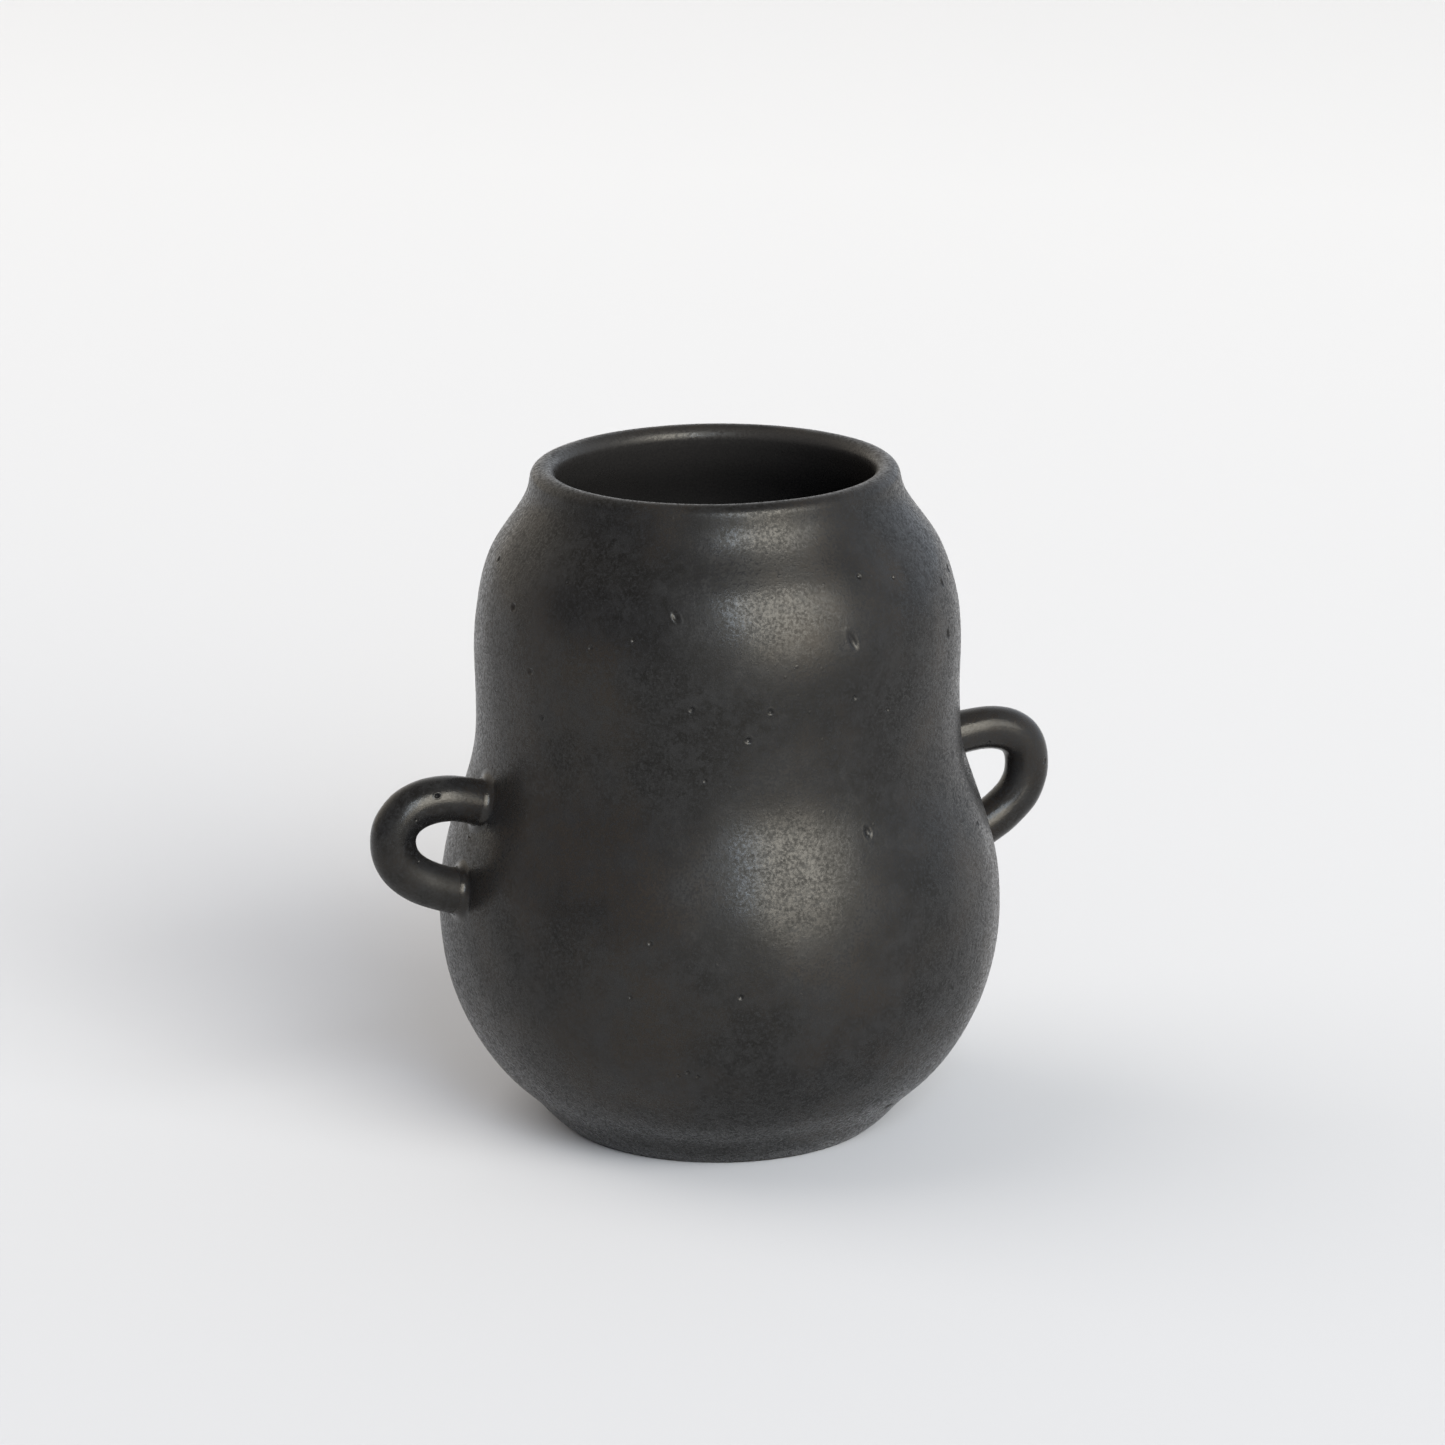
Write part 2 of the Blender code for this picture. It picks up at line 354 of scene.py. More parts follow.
# A pit in the wall: azimuth in degrees, height, half width and depth in mm, stretch, and tilt in
# degrees. Azimuth 0 is the front, between the handles, and 90 is the right handle.
SEEN_PITS = (
    (-32, 146, 0.80, 0.41, 1.7, 60),
    (-42, 140, 0.60, 0.35, 1.0, 0),
    (-53, 137, 0.68, 0.38, 1.0, 0),
    (-28, 124, 0.73, 0.46, 1.0, 0),
    (-10, 123, 0.68, 0.41, 1.0, 0),
    (11, 124, 0.65, 0.38, 1.0, 0),
    (-15, 116, 0.73, 0.46, 1.2, 20),
    (11, 138, 1.05, 0.57, 2.1, 70),
    (17, 152, 0.68, 0.41, 1.0, 0),
    (28, 150, 0.57, 0.32, 1.0, 0),
    (60, 145, 0.80, 0.43, 1.5, 90),
    (50, 144, 0.76, 0.43, 1.4, 80),
    (47, 132, 0.84, 0.46, 1.6, 85),
    (-71, 128, 0.73, 0.41, 1.2, 0),
    (-80, 142, 0.84, 0.46, 1.2, 40),
    (-96, 150, 0.76, 0.41, 1.0, 0),
    (-63, 151, 0.57, 0.32, 1.0, 0),
    (-67, 117, 0.65, 0.38, 1.0, 0),
    (21, 119, 0.57, 0.32, 1.0, 0),
    (-25, 106, 0.49, 0.27, 1.0, 0),
    (13, 90, 0.95, 0.51, 1.5, 85),
    (54, 81, 0.65, 0.38, 1.0, 0),
    (-36, 67, 0.57, 0.35, 1.0, 0),
    (-18, 54, 0.68, 0.41, 1.0, 0),
    (-40, 53, 0.49, 0.30, 1.0, 0),
    (-29, 33, 0.65, 0.38, 1.0, 0),
    (-27, 32, 0.54, 0.32, 1.0, 0),
    (-31, 32, 0.46, 0.30, 1.0, 0),
    (32, 11, 1.14, 0.54, 2.2, 10),
    (-91, 81, 0.68, 0.41, 1.0, 0),
)
# The pits that aren't seen are drawn by lot: how many there are, and the ranges of their azimuths,
# heights, half widths, depths and stretches, in the same units.
PIT_SEED = 5
UNSEEN_PITS = 44
UNSEEN_AZIMUTHS = (66, 250)
UNSEEN_HEIGHTS = (14, 153)
UNSEEN_HALVES = (0.4, 0.9)
UNSEEN_DEPTHS = (0.22, 0.48)
UNSEEN_STRETCHES = (1, 1.7)
# They keep clear of the seams, and of the right handle by these degrees and between these heights.
SEAM_MARGIN = 3 * MM
HANDLE_AZIMUTH = 90
HANDLE_MARGIN = 12
HANDLE_HEIGHTS = (50, 105)
# A pit's shape, in half widths from its middle: how far it reaches, where its edge is and how
# steep, and its lip's rise as a share of the depth, its place and its width.
PIT_REACH = 2.6
PIT_EDGE = (0.70, 5.5)
PIT_LIP = (0.08, 1.45, 0.35)
# How the mesh is cut around a pit, twice: out to this share of its width and this much further,
# with so many cuts across each face.
PIT_CUTS = ((1.7, 0.9 * MM, 2), (1.5, 0.2 * MM, 1))
FOOT_SEAM, WAIST_SEAM, COLLAR_SEAM = LOWER_BOX[0].z, LOWER_BOX[1].z, UPPER_BOX[1].z


def unseen_pits():
    """Pits over the sides and back, as thick as on the front and clear of seams and handles."""
    draw = np.random.default_rng(PIT_SEED)
    pits = []
    while len(pits) < UNSEEN_PITS:
        azimuth, height = draw.uniform(*UNSEEN_AZIMUTHS), draw.uniform(*UNSEEN_HEIGHTS)
        half, deep = draw.uniform(*UNSEEN_HALVES), draw.uniform(*UNSEEN_DEPTHS)
        stretch, tilt = draw.uniform(*UNSEEN_STRETCHES), draw.uniform(0, 180)
        level = HANDLE_HEIGHTS[0] < height < HANDLE_HEIGHTS[1]
        by_handle = level and abs(azimuth - HANDLE_AZIMUTH) < HANDLE_MARGIN
        seams = [abs(height * MM - z) for z in (FOOT_SEAM, WAIST_SEAM, COLLAR_SEAM)]
        if min(seams) > SEAM_MARGIN and not by_handle:
            pits.append((azimuth, height, half, deep, stretch, tilt))
    return pits


def pit_on(radius, angle, place, half, deep, stretch, tilt):
    """A pit on a surface of this radius, as (angle, place, radius, half width, depth, stretch,
    tilt) in metres and radians, from its sizes in mm and degrees."""
    return math.radians(angle), place, radius, half * MM, deep * MM, stretch, math.radians(tilt)


def wall_pits():
    """Every pit in the wall."""
    pits = []
    for azimuth, height, *shape in [*SEEN_PITS, *unseen_pits()]:
        place = float(PROFILE.place_of("outside", height * MM))
        radius = float(PROFILE.at(place)[0])
        pits.append(pit_on(radius, azimuth - HANDLE_AZIMUTH, place, *shape))
    return pits


def pit_rise(angles, places, pits):
    """How far the surface stands out at each (angle, place): a round-bottomed hole at each pit,
    with a faint raised lip."""
    total = np.zeros(len(angles))
    for angle, place, radius, half, deep, stretch, tilt in pits:
        x = ((angles - angle + math.pi) % (2 * math.pi) - math.pi) * radius
        y = places - place
        near = np.flatnonzero(np.hypot(x, y) < PIT_REACH * half * stretch)
        c, s = math.cos(tilt), math.sin(tilt)
        u = (x[near] * c + y[near] * s) / (half * stretch)
        v = (y[near] * c - x[near] * s) / half
        q = np.hypot(u, v)
        bowl = -deep / (1 + np.exp((q - PIT_EDGE[0]) * PIT_EDGE[1]))
        raised = deep * PIT_LIP[0] * np.exp(-(((q - PIT_LIP[1]) / PIT_LIP[2]) ** 2))
        total[near] += bowl + raised
    return total


WALL_PITS = wall_pits()


def wall_surface(angles, places, pits=WALL_PITS):
    """Points of the wall, at these angles around it and places along its profile."""
    radius, height = PROFILE.at(places)
    out, up = PROFILE.at(places, PROFILE.normals)
    c, s = np.cos(angles), np.sin(angles)
    points = np.stack([radius * c, radius * s, height], 1)
    strength = np.interp(height / MM, *np.array(DENT_SHARES).T)
    rise = dent(points, WALL_DENTS) * strength + pit_rise(angles, places, pits)
    return lean(points + rise[:, None] * np.stack([out * c, out * s, up], 1))


def plain_wall(angles, places):
    """The wall without its pits."""
    return wall_surface(angles, places, ())


def normals_of(surface, angles, places, spread):
    """Outward unit normals of a surface, from points a hair either side."""
    turn = NORMAL_STEP / spread
    across = surface(angles + turn, places) - surface(angles - turn, places)
    along = surface(angles, places + NORMAL_STEP) - surface(angles, places - NORMAL_STEP)
    normals = np.cross(along, across)
    return normals / np.linalg.norm(normals, axis=1)[:, None]


# ---------------------------------------------------------------- meshes


def ring_sheet(rows, columns, spread, pits):
    """A ring-shaped sheet of faces, cut finer around each pit. It returns the angle and place of
    each point, and the faces. The points of the uncut rows come first, row by row."""
    turns = np.linspace(0, 2 * np.pi, columns, endpoint=False)
    ring = [(spread * math.cos(turn), spread * math.sin(turn)) for turn in turns]
    sheet = bmesh.new()
    lines = [[sheet.verts.new((x, y, row)) for x, y in ring] for row in rows]
    for low, high in zip(lines, lines[1:]):
        for i in range(columns):
            after = (i + 1) % columns
            sheet.faces.new((low[i], high[i], high[after], low[after]))
    for width_share, reach, cuts in PIT_CUTS:
        cut_near(sheet, spread, pits, width_share, reach, cuts)
    sheet.verts.index_update()
    points = np.array([vert.co[:] for vert in sheet.verts])
    faces = [[vert.index for vert in face.verts] for face in sheet.faces]
    sheet.free()
    return np.arctan2(points[:, 1], points[:, 0]), points[:, 2], faces


def cut_near(sheet, spread, pits, width_share, reach, cuts):
    """Cuts the faces around each pit into smaller ones, and leaves the sheet's border alone."""
    faces = sheet.faces[:]
    sheet.edges.index_update()
    centres = np.array([face.calc_center_median()[:] for face in faces])
    chosen = np.zeros(len(faces), bool)
    for angle, place, _, half, _, stretch, _ in pits:
        middle = (spread * math.cos(angle), spread * math.sin(angle), place)
        width = half * (1 + stretch) / 2
        chosen |= np.linalg.norm(centres - middle, axis=1) < width * width_share + reach
    around = [edge for i in np.flatnonzero(chosen) for edge in faces[i].edges]
    wanted = sorted({edge.index for edge in around if not edge.is_boundary})
    if wanted:
        sheet.edges.ensure_lookup_table()
        edges = [sheet.edges[i] for i in wanted]
        bmesh.ops.subdivide_edges(sheet, edges=edges, cuts=cuts, use_grid_fill=True)


def make_piece(name, points, normals, faces, material):
    """A smooth closed mesh object that stands for the CAD node of the same name."""
    mesh = bpy.data.meshes.new(name)
    mesh.from_pydata(points.tolist(), [], faces)
    mesh.materials.append(material)
    mesh.shade_smooth()
    mesh.normals_split_custom_set_from_vertices(normals.tolist())
    piece = bpy.data.objects.new(name + "_clay", mesh)
    bpy.context.scene.collection.objects.link(piece)
    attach(piece, "root")
    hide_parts(name)


def band(first, second):
    """Faces from one ring of points to the next."""
    after = [*range(1, len(first)), 0]
    return [(first[i], second[i], second[j], first[j]) for i, j in enumerate(after)]


def cap(ring, pole):
    """Faces from a ring of points to the point in its middle."""
    after = [*range(1, len(ring)), 0]
    return [(pole, ring[i], ring[j]) for i, j in enumerate(after)]


def wall_piece(name, spans, material):
    """One piece of the wall: its stretches of the profile, joined at hidden faces inside the
    clay, or closed at the axis where a stretch reaches it."""
    points, normals, faces, rings = [], [], [], []
    total = 0
    for begin, end in spans:
        rows = PROFILE.rows(max(begin, POLE_GAP), min(end, PROFILE.length - POLE_GAP))
        angles, places, sheet_faces = ring_sheet(rows, COLUMNS, SPREAD, WALL_PITS)
        points.append(wall_surface(angles, places))
        normals.append(normals_of(wall_surface, angles, places, SPREAD))
        faces += [[i + total for i in face] for face in sheet_faces]
        last = total + (len(rows) - 1) * COLUMNS
        rings.append((range(total, total + COLUMNS), range(last, last + COLUMNS)))
        total += len(angles)
    for (_, last), (first, _) in zip(rings, rings[1:]):
        faces += band(last, first)
    if spans[0][0] > 0:
        faces += band(rings[-1][1], rings[0][0])
    else:
        faces += cap(rings[0][0], total)
        faces += cap(rings[-1][1][::-1], total + 1)
        points.append(np.array([[0, 0, FLOOR], [0, 0, DISH[1]]]))
        normals.append(np.array([[0, 0, 1.0], [0, 0, -1.0]]))
    make_piece(name, np.concatenate(points), np.concatenate(normals), faces, material)


# ---------------------------------------------------------------- handles

COIL_COLUMNS = 80
COIL_ROW = 0.55 * MM
COIL_BEND_POINTS = 2000
COIL_END_POINTS = 100
# Each end of a coil runs on straight into the wall by this much. Its upper and its lower end do
# so from these distances from the pot's axis, in shares of the pot's height.
COIL_SINK = 2.0 * MM
ROOT_RADII = (0.3647, 0.4059)

# Each handle's bends, in mm and degrees: the heights of its ends and its tip above the middle of
# the CAD handle, the slopes and reaches of its ends, how far its tip holds upright above and
# below, how far the tip stays short of the CAD handle's, and the radius of the coil.
BENDS = {
    "left_handle": {
        "side": -1,
        "top": 9.20,
        "top_slope": 25.2,
        "top_reach": 15.46,
        "tip": 2.76,
        "tip_hold": (8.41, 8.68),
        "foot": -12.43,
        "foot_slope": 14.2,
        "foot_reach": 9.43,
        "short": -0.2,
        "radius": 5.75,
    },
    "right_handle": {
        "side": 1,
        "top": 11.95,
        "top_slope": 16.9,
        "top_reach": 13.84,
        "tip": 3.19,
        "tip_hold": (10.49, 9.30),
        "foot": -14.64,
        "foot_slope": 26.2,
        "foot_reach": 8.81,
        "short": 1.04,
        "radius": 5.55,
    },
}

# A pit in a handle: share of the way from its top end, angle in degrees from its outer side
# towards the front, half width, depth, stretch, tilt.
COIL_PITS = {
    "left_handle": (
        (0.285, 62, 0.50, 0.80, 1.2, 60),
        (0.40, 122, 0.42, 0.26, 1.0, 0),
        (0.40, 95, 0.36, 0.16, 1.0, 0),
        (0.66, 128, 0.48, 0.28, 1.0, 0),
    ),
    "right_handle": (
        (0.22, 118, 0.46, 0.26, 1.0, 0),
        (0.52, 56, 0.55, 0.34, 1.3, 30),
    ),
}


def bezier(points, count):
    """Points along a cubic Bezier curve."""
    t = np.linspace(0, 1, count)[:, None]
    a, b, c, d = (np.array(point) for point in points)
    return (1 - t) ** 3 * a + 3 * (1 - t) ** 2 * t * b + 3 * (1 - t) * t**2 * c + t**3 * d


def slope(angle):
    """The (outwards, up) way at this many degrees above level."""
    return np.array([math.cos(math.radians(angle)), math.sin(math.radians(angle))])


class Coil:
    """A rolled coil bent to a C: its centre line, and its surface by angle and place."""

    def __init__(self, name):
        bends = BENDS[name]
        low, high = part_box(name)
        middle = (low.z + high.z) / 2
        self.radius = bends["radius"] * MM
        reach = max(abs(low.x), abs(high.x)) - self.radius - bends["short"] * MM
        top = np.array([ROOT_RADII[0] * HEIGHT, middle + bends["top"] * MM])
        foot = np.array([ROOT_RADII[1] * HEIGHT, middle + bends["foot"] * MM])
        tip = np.array([reach, middle + bends["tip"] * MM])
        hold = [np.array([0, length * MM]) for length in bends["tip_hold"]]
        top_way, foot_way = slope(bends["top_slope"]), slope(bends["foot_slope"])
        upper = (top, top + bends["top_reach"] * MM * top_way, tip + hold[0], tip)
        lower = (tip, tip - hold[1], foot + bends["foot_reach"] * MM * foot_way, foot)
        line = np.concatenate(
            [
                np.linspace(top - COIL_SINK * top_way, top, COIL_END_POINTS)[:-1],
                bezier(upper, COIL_BEND_POINTS)[:-1],
                bezier(lower, COIL_BEND_POINTS),
                np.linspace(foot, foot - COIL_SINK * foot_way, COIL_END_POINTS)[1:],
            ]
        )
        steps = np.linalg.norm(np.diff(line, axis=0), axis=1)
        self.places = np.concatenate([[0], np.cumsum(steps)])
        self.length = float(self.places[-1])
        self.line = line
        self.lifts = left_normals(line)
        self.side = bends["side"]
        self.pits = [
            pit_on(self.radius, turn, share * self.length, *shape)
            for share, turn, *shape in COIL_PITS[name]
        ]

    def surface(self, angles, places):
        """Points of the coil, at these angles from its outer side towards the front."""
        centre = [np.interp(places, self.places, self.line[:, k]) for k in (0, 1)]
        lift = [np.interp(places, self.places, self.lifts[:, k]) for k in (0, 1)]
        c = np.cos(angles)
        way = np.stack([self.side * lift[0] * c, -np.sin(angles), lift[1] * c], 1)
        middle = np.stack([self.side * centre[0], np.zeros(len(angles)), centre[1]], 1)
        plain = middle + self.radius * way
        rise = dent(plain, COIL_DENTS) + pit_rise(angles, places, self.pits)
        return plain + rise[:, None] * way

    def normals(self, angles, places):
        """Outward unit normals of the coil."""
        return -self.side * normals_of(self.surface, angles, places, self.radius)


def coil_piece(name, coil, material):
    """The handle's mesh: a bent round coil with its two ends hidden in the wall."""
    rows = np.linspace(0, coil.length, int(coil.length / COIL_ROW) + 1)
    angles, places, faces = ring_sheet(rows, COIL_COLUMNS, coil.radius, coil.pits)
    total, last = len(angles), (len(rows) - 1) * COIL_COLUMNS
    faces += cap(range(COIL_COLUMNS), total)
    faces += cap(range(last, last + COIL_COLUMNS)[::-1], total + 1)
    ends = [[coil.side * r, 0, z] for r, z in (coil.line[0], coil.line[-1])]
    points = np.concatenate([coil.surface(angles, places), ends])
    hidden = [[-coil.side, 0.0, 0.0]] * 2
    normals = np.concatenate([coil.normals(angles, places), hidden])
    if coil.side > 0:
        faces = [face[::-1] for face in faces]
    make_piece(name, points, normals, faces, material)


# ---------------------------------------------------------------- lutings

# The luting's clay reaches this far along the coil and the wall, more or less in waves around it:
# (how many waves, share of the reach, turn). The turns are moved on by one amount from the left
# handle to the right, and by another from a handle's upper end to its lower.
LUTING_REACH = 3.1 * MM
LUTING_UNEVEN = ((2, 0.14, 0.6), (3, 0.10, 2.2), (5, 0.06, 4.0))
LUTING_SIDE_TURN = 1.7
LUTING_FOOT_TURN = 0.9
LUTING_ROWS = 14
# How deep its root lies in the corner, and how deep its edges lie under the other surfaces.
LUTING_ROOT = 0.9 * MM
LUTING_SINK = 0.015 * MM
# How far along the coil from its end it is searched for the wall, in how many points, and how
# often the nearest point of the wall is worked out again.
SEARCH = 16 * MM
SEARCH_POINTS = 120
NEAREST_ROUNDS = 4


def nearest_wall(points):
    """The point on the outer wall nearest to each point, and the wall's normal there."""
    angles = np.arctan2(points[:, 1], points[:, 0])
    places = PROFILE.place_of("outside", points[:, 2])
    turn = WALL_STEP / SPREAD
    for _ in range(NEAREST_ROUNDS):
        there = plain_wall(angles, places)
        gap = points - there
        along = plain_wall(angles, places + WALL_STEP) - there
        across = plain_wall(angles + turn, places) - there
        places = places + WALL_STEP * (gap * along).sum(1) / (along**2).sum(1)
        angles = angles + turn * (gap * across).sum(1) / (across**2).sum(1)
    return plain_wall(angles, places), normals_of(plain_wall, angles, places, SPREAD)


def crossing_places(coil, angles, at_foot):
    """Where along the coil its side, at each angle, goes into the wall."""
    depths = np.linspace(0, SEARCH, SEARCH_POINTS)
    places = coil.length - depths if at_foot else depths
    grid_angles, grid_places = np.repeat(angles, len(places)), np.tile(places, len(angles))
    points = coil.surface(grid_angles, grid_places)
    there, normals = nearest_wall(points)
    gaps = ((points - there) * normals).sum(1).reshape(len(angles), -1)
    found = []
    for row in gaps:
        first = int(np.argmax(row > 0))
        share = row[first - 1] / (row[first - 1] - row[first])
        found.append(places[first - 1] + share * (places[first] - places[first - 1]))
    return np.array(found)


def curve_weights(knots, rows):
    """How much each knot of a Bezier curve counts at each of these rows along it."""
    last = knots - 1
    return [
        [math.comb(last, k) * (1 - t) ** (last - k) * t**k for k in range(knots)]
        for t in np.linspace(0, 1, rows + 1)
    ]


def luting_piece(name, coil, at_foot, turned, material):
    """The ring of clay worked smooth around one end of a handle."""
    angles = np.linspace(0, 2 * np.pi, COIL_COLUMNS, endpoint=False)
    crossing = crossing_places(coil, angles, at_foot)
    uneven = sum(share * np.sin(k * angles + turned + turn) for k, share, turn in LUTING_UNEVEN)
    reach = LUTING_REACH * (1 + uneven)
    out = crossing + (-reach if at_foot else reach)
    corner, coil_way = coil.surface(angles, crossing), coil.normals(angles, crossing)
    _, wall_way = nearest_wall(corner)
    spread = coil_way - (coil_way * wall_way).sum(1)[:, None] * wall_way
    spread /= np.linalg.norm(spread, axis=1)[:, None]
    coil_normals = coil.normals(angles, out)
    on_coil = coil.surface(angles, out) - LUTING_SINK * coil_normals
    on_wall, wall_normals = nearest_wall(corner + reach[:, None] * spread)
    on_wall = on_wall - LUTING_SINK * wall_normals
    knots = (on_coil, (on_coil + corner) / 2, corner, (corner + on_wall) / 2, on_wall)
    grid = np.tensordot(curve_weights(len(knots), LUTING_ROWS), knots, 1)
    down = np.gradient(grid, axis=0)
    around = np.roll(grid, -1, axis=1) - np.roll(grid, 1, axis=1)
    normals = np.cross(down, around)
    normals /= np.linalg.norm(normals, axis=2)[:, :, None]
    inside_out = (normals[0] * coil_normals).sum() < 0
    normals = -normals if inside_out else normals
    normals[0], normals[-1] = coil_normals, wall_normals
    root = corner - LUTING_ROOT * (wall_way + coil_way)
    points = np.concatenate([grid.reshape(-1, 3), root])
    normals = np.concatenate([normals.reshape(-1, 3), -coil_way])
    starts = range(0, len(points), COIL_COLUMNS)
    rings = [range(start, start + COIL_COLUMNS) for start in starts]
    faces = [face for a, b in zip(rings, rings[1:] + rings[:1]) for face in band(a, b)]
    if inside_out:
        faces = [face[::-1] for face in faces]
    make_piece(name, points, normals, faces, material)


# ---------------------------------------------------------------- materials


def node(tree, kind, inputs=None, **settings):
    """A shader node with these inputs and settings."""
    made = tree.nodes.new(kind)
    for key, value in settings.items():
        setattr(made, key, value)
    for key, value in (inputs or {}).items():
        if isinstance(value, bpy.types.NodeSocket):
            tree.links.new(value, made.inputs[key])
        else:
            made.inputs[key].default_value = value
    return made


def new_material(name):
    """An empty material, and its node tree."""
    material = bpy.data.materials.new(name)
    material.use_nodes = True
    material.node_tree.nodes.clear()
    return material, material.node_tree


def ramp(tree, factor, span, ends=(0, 1)):
    """The factor's span, mapped to the values between two ends."""
    inputs = {0: factor, 1: span[0], 2: span[1], 3: ends[0], 4: ends[1]}
    return node(tree, "ShaderNodeMapRange", inputs).outputs[0]


def noise(tree, place, scale, detail, rough):
    """A noise from 0 to 1, with this many waves to the metre."""
    inputs = {"Vector": place, "Scale": scale, "Detail": detail, "Roughness": rough}
    return node(tree, "ShaderNodeTexNoise", inputs).outputs[0]


def mixed(tree, factor, first, second):
    """A colour between two others."""
    inputs = {0: factor, 6: first, 7: second}
    return node(tree, "ShaderNodeMix", inputs, data_type="RGBA").outputs[2]


def bump(tree, height, distance, below=None):
    """The normal of a surface that this height raises by up to this distance."""
    inputs = {"Height": height, "Distance": distance, "Strength": 1.0}
    if below is not None:
        inputs["Normal"] = below
    return node(tree, "ShaderNodeBump", inputs).outputs[0]


def multiplied(tree, first, second):
    """One value times another."""
    return node(tree, "ShaderNodeMath", {0: first, 1: second}, operation="MULTIPLY").outputs[0]


def added(tree, first, second):
    """One value plus another."""
    return node(tree, "ShaderNodeMath", {0: first, 1: second}, operation="ADD").outputs[0]


def reach_along(tree, place, way):
    """How far a place lies along a way."""
    inputs = {0: place, 1: way}
    return node(tree, "ShaderNodeVectorMath", inputs, operation="DOT_PRODUCT").outputs["Value"]


def share_towards(tree, place, angles, span):
    """From 0 to 1 over this span of how far a place lies in the direction of these angles."""
    return ramp(tree, reach_along(tree, place, towards(*angles).tolist()), span)


GLAZE_BLACK = (0.0060, 0.0059, 0.0062, 1)
GLAZE_BROWN = (0.0145, 0.0118, 0.0098, 1)
GLAZE_SLATE = (0.0140, 0.0142, 0.0148, 1)
GLAZE_SOOT = (0.0022, 0.0022, 0.0024, 1)
# Painted light: a paler tone for faces turned towards the axis, lifting the dim inside of the pot.
INSIDE_PAINTED_LIGHT = (0.0175, 0.0165, 0.0158, 1)
GLAZE_TINT = (1.0, 0.955, 0.86, 1)
GLAZE_IOR = 1.33
BARE_CLAY = (0.030, 0.028, 0.026, 1)
BARE_ROUGHNESS = 0.85

# The noises in the glaze, each by its waves to the metre, its detail and its roughness.
GLAZE_NOISES = {
    "patch": (30, 3, 0.55),
    "cloud": (90, 5, 0.7),
    "swell": (110, 2, 0.5),
    "wander": (180, 2, 0.5),
    "blotch": (330, 4, 0.7),
    "dimple": (420, 2, 0.5),
    "speck": (620, 4, 0.8),
    "grain": (1250, 2, 0.7),
}
# The part of each noise over which a colour comes in, and how much of it.
BROWN_IN_PATCH = (0.44, 0.64)
SLATE_IN_CLOUD = (0.46, 0.66)
SLATE_IN_GRAIN = (0.45, 0.68)
CLOUD_SLATE = (0, 0.9)
SOOT_IN_BLOTCH = (0.40, 0.56)
SOOT_IN_PATCH = (0.38, 0.58)
BLOTCH_SOOT = (1, 0)
PATCH_SOOT = (1, 0.2)
# The part of each noise over which the glaze gets smoother, and what the blotches add to that.
SHINE_IN_GRAIN = (0.38, 0.62)
SHINE_IN_BLOTCH = (0.34, 0.64)
BLOTCH_ROUGHNESS = (0.06, -0.04)
# Beads in the glaze: cells to the metre, the edge of a bead as a share of its cell, and the cells
# that have one, by lot.
BEAD_CELLS = 300
BEAD_EDGE = (0.05, 0.15)
BEAD_LOTS = (0.72, 0.90)
# The relief of the glaze from broad to fine: what raises it, and how high.
GLAZE_RELIEF = (
    ("swell", 0.08 * MM),
    ("dimple", 0.022 * MM),
    ("beads", 0.05 * MM),
    ("grain", 0.036 * MM),
    ("speck", 0.024 * MM),
)
# The glaze begins between these heights above the ground, and its edge wanders up and down.
BARE_HEIGHTS = (0.3 * MM, 0.6 * MM)
BARE_WANDER_IN = (0.3, 0.7)
BARE_WANDER = (-0.2 * MM, 0.2 * MM)
# How much rougher the glaze is below a handle's dull height, and how far that takes to fade.
DULLING = 0.22
DULL_EDGE = 5 * MM
DULL_HANDLE_HEIGHT = 78 * MM
# How far a face turns towards the axis, from where the painted light of the inside sets in to where
# it is full.
INWARD = (-0.35, -0.80)


def bead_height(tree, place):
    """Sparse round beads and specks that stand in the glaze, from 0 to 1."""
    cells = node(tree, "ShaderNodeTexVoronoi", {"Vector": place, "Scale": BEAD_CELLS})
    round_spot = ramp(tree, cells.outputs["Distance"], BEAD_EDGE, (1, 0))
    lot = node(tree, "ShaderNodeSeparateColor", {0: cells.outputs["Color"]}).outputs[0]
    return multiplied(tree, round_spot, ramp(tree, lot, BEAD_LOTS))


def glaze_colour(tree, noises):
    """Black glaze with brown patches, slate clouds and grains, and soot-black spots in clusters."""
    patch, grain = noises["patch"], noises["grain"]
    slate = ramp(tree, noises["cloud"], SLATE_IN_CLOUD, CLOUD_SLATE)
    spots = ramp(tree, noises["blotch"], SOOT_IN_BLOTCH, BLOTCH_SOOT)
    clusters = ramp(tree, patch, SOOT_IN_PATCH, PATCH_SOOT)
    brown = mixed(tree, ramp(tree, patch, BROWN_IN_PATCH), GLAZE_BLACK, GLAZE_BROWN)
    clouded = mixed(tree, slate, brown, GLAZE_SLATE)
    sooty = mixed(tree, multiplied(tree, spots, clusters), clouded, GLAZE_SOOT)
    return mixed(tree, ramp(tree, grain, SLATE_IN_GRAIN), sooty, GLAZE_SLATE)


def painted_inside_light_share(tree, place, most):
    """How much of the painted light of the inside a face has, up to the most given on faces to the
    axis.
    """
    level = node(tree, "ShaderNodeVectorMath", {0: place, 1: (1, 1, 0)}, operation="MULTIPLY")
    out = node(tree, "ShaderNodeVectorMath", {0: level.outputs[0]}, operation="NORMALIZE")
    way = node(tree, "ShaderNodeTexCoord").outputs["Normal"]
    return ramp(tree, reach_along(tree, way, out.outputs[0]), INWARD, (0, most))


